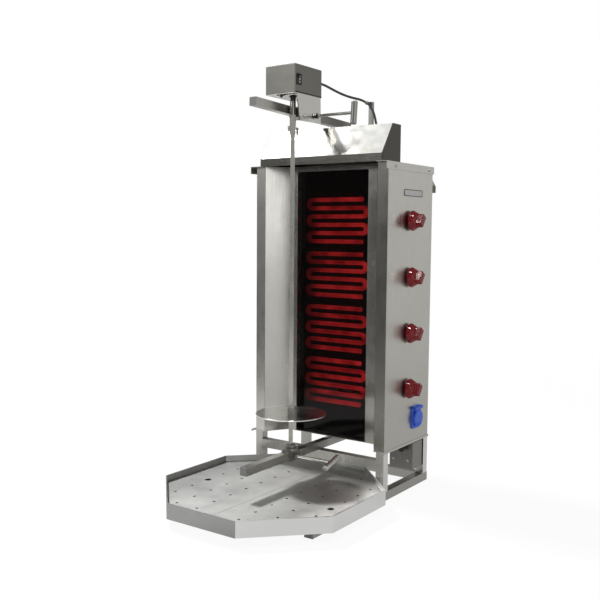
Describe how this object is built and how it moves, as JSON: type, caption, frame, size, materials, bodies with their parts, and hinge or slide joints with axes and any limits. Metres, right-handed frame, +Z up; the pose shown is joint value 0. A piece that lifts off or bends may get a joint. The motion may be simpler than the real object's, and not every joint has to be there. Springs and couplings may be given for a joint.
{
  "type": "electric doner kebab grill",
  "caption": "Upright electric doner grill: glowing elements behind glass in a splayed steel housing, a turning spit under a sliding motor box, knobs on the side and an octagonal drip tray.",
  "frame": {"origin": "on the floor under the middle of the whole object", "axes": "+Z up, the open front with the tray faces -Y, +X to the right, the side with the knobs"},
  "size_m": [0.558, 0.796, 1.192],
  "materials": {
    "panel_steel": "satin stainless sheet, grain upright",
    "bright_steel": "polished stainless sheet",
    "tube_steel": "satin stainless tube",
    "spit_steel": "ground stainless bar",
    "dark_steel": "dark heat-stained steel",
    "black_glass": "dark glass ceramic, gloss",
    "element": "glowing red heating band",
    "insulation": "dark fibre board",
    "red_plastic": "translucent red, gloss",
    "blue_plastic": "blue, half gloss",
    "black_plastic": "black, matt",
    "grey_plastic": "grey, matt",
    "cable_rubber": "black cable sheath",
    "zinc": "zinc plated fasteners",
    "motor_body": "cast gearbox and motor can",
    "brass": "bearing bronze"
  },
  "bodies": {
    "grill": {"stand_runners": "tube_steel", "stand_frame": "tube_steel", "bottom_plate": "panel_steel", "side_panel_right": "panel_steel", "side_panel_left": "panel_steel", "rear_panel": "panel_steel", "lid": "panel_steel", "hood": "bright_steel", "side_reflectors": "bright_steel", "glass_frame": "bright_steel", "glass_panel": "black_glass", "heater_pan": "dark_steel", "insulation_board": "insulation", "heating_elements": "element", "top_rail": "tube_steel", "rail_column": "tube_steel", "bottom_rail": "tube_steel", "tube_end_caps": "grey_plastic", "cable_post": "tube_steel", "lid_gland": "black_plastic", "motor_cable": "cable_rubber", "regulators": "black_plastic", "socket_body": "blue_plastic", "junction_box": "panel_steel", "junction_box_cover": "panel_steel", "terminal_block": "grey_plastic", "mains_gland": "black_plastic", "wall_spacers": "tube_steel", "housing_fasteners": "zinc"},
    "socket_cover": {"socket_lid": "blue_plastic"},
    "motor_carriage": {"motor_cover": "panel_steel", "motor_base": "panel_steel", "gear_motor": "motor_body", "rocker_bezel": "black_plastic", "motor_gland": "black_plastic", "carriage_bracket": "panel_steel", "carriage_saddle": "tube_steel", "shaft_bushing": "brass"},
    "rocker": {"rocker_switch": "black_plastic"},
    "top_clamp": {"top_clamp_handle": "zinc"},
    "spit_drive": {"drive_shaft": "spit_steel", "spit": "spit_steel"},
    "lock": {"locking_pin": "dark_steel"},
    "disc": {"meat_disc": "bright_steel", "disc_collar": "spit_steel"},
    "foot_carriage": {"lower_saddle": "tube_steel", "spit_bearing": "brass"},
    "foot_clamp": {"lower_clamp_handle": "zinc"},
    "tray": {"drip_tray": "panel_steel", "tray_ledges": "panel_steel"},
    "plate_left": {"drip_plate_left": "bright_steel"},
    "plate_right": {"drip_plate_right": "bright_steel"},
    "regulator_knob_1": {"knob_1": "red_plastic", "knob_spindle_1": "zinc"},
    "regulator_knob_2": {"knob_2": "red_plastic", "knob_spindle_2": "zinc"},
    "regulator_knob_3": {"knob_3": "red_plastic", "knob_spindle_3": "zinc"},
    "regulator_knob_4": {"knob_4": "red_plastic", "knob_spindle_4": "zinc"}
  },
  "joints": [
    {"name": "carriage_slide", "type": "slide", "parent": "grill", "child": "motor_carriage", "axis": [0, 0.9993, -0.0366], "range_m": [-0.15, 0.05], "deforming": ["motor_cable"]},
    {"name": "foot_slide", "type": "slide", "parent": "grill", "child": "foot_carriage", "axis": [0, 1, 0], "range_m": [-0.15, 0.05]},
    {"name": "spit_spin", "type": "hinge", "parent": "motor_carriage", "child": "spit_drive", "pos_m": [-0.004, -0.017, 1.05], "axis": [0, 0, 1], "continuous": true},
    {"name": "disc_height", "type": "slide", "parent": "spit_drive", "child": "disc", "axis": [0, 0, 1], "range_m": [-0.07, 0.5]},
    {"name": "lock_pull", "type": "slide", "parent": "spit_drive", "child": "lock", "axis": [0.809, 0.5878, 0], "range_m": [0, 0.03]},
    {"name": "top_clamp_turn", "type": "hinge", "parent": "motor_carriage", "child": "top_clamp", "pos_m": [0.1, 0.043, 1.0645], "axis": [1, 0, 0], "range_deg": [-180, 180]},
    {"name": "foot_clamp_turn", "type": "hinge", "parent": "foot_carriage", "child": "foot_clamp", "pos_m": [0.1, -0.017, 0.124], "axis": [1, 0, 0], "range_deg": [-180, 180]},
    {"name": "rocker_tilt", "type": "hinge", "parent": "motor_carriage", "child": "rocker", "pos_m": [0.025, -0.0345, 1.1525], "axis": [0, 1, 0], "range_deg": [-16, 0]},
    {"name": "socket_lid_swing", "type": "hinge", "parent": "grill", "child": "socket_cover", "pos_m": [0.234, 0.291, 0.237], "axis": [0, -1, 0], "range_deg": [0, 105], "stiffness_Nm_per_rad": 0.02},
    {"name": "tray_slide", "type": "slide", "parent": "grill", "child": "tray", "axis": [0, -1, 0], "range_m": [0, 0.3]},
    {"name": "plate_left_lift", "type": "slide", "parent": "tray", "child": "plate_left", "axis": [0, 0, 1], "range_m": [0, 0.038]},
    {"name": "plate_right_lift", "type": "slide", "parent": "tray", "child": "plate_right", "axis": [0, 0, 1], "range_m": [0, 0.038]},
    {"name": "knob_1_turn", "type": "hinge", "parent": "grill", "child": "regulator_knob_1", "pos_m": [0.24, 0.237, 0.781], "axis": [1, 0, 0], "range_deg": [-270, 0]},
    {"name": "knob_2_turn", "type": "hinge", "parent": "grill", "child": "regulator_knob_2", "pos_m": [0.24, 0.237, 0.621], "axis": [1, 0, 0], "range_deg": [-270, 0]},
    {"name": "knob_3_turn", "type": "hinge", "parent": "grill", "child": "regulator_knob_3", "pos_m": [0.24, 0.237, 0.461], "axis": [1, 0, 0], "range_deg": [-270, 0]},
    {"name": "knob_4_turn", "type": "hinge", "parent": "grill", "child": "regulator_knob_4", "pos_m": [0.24, 0.237, 0.301], "axis": [1, 0, 0], "range_deg": [-270, 0]}
  ],
  "couplings": [
    {"joint": "foot_slide", "follows": "carriage_slide", "ratio": 0.99933}
  ]
}
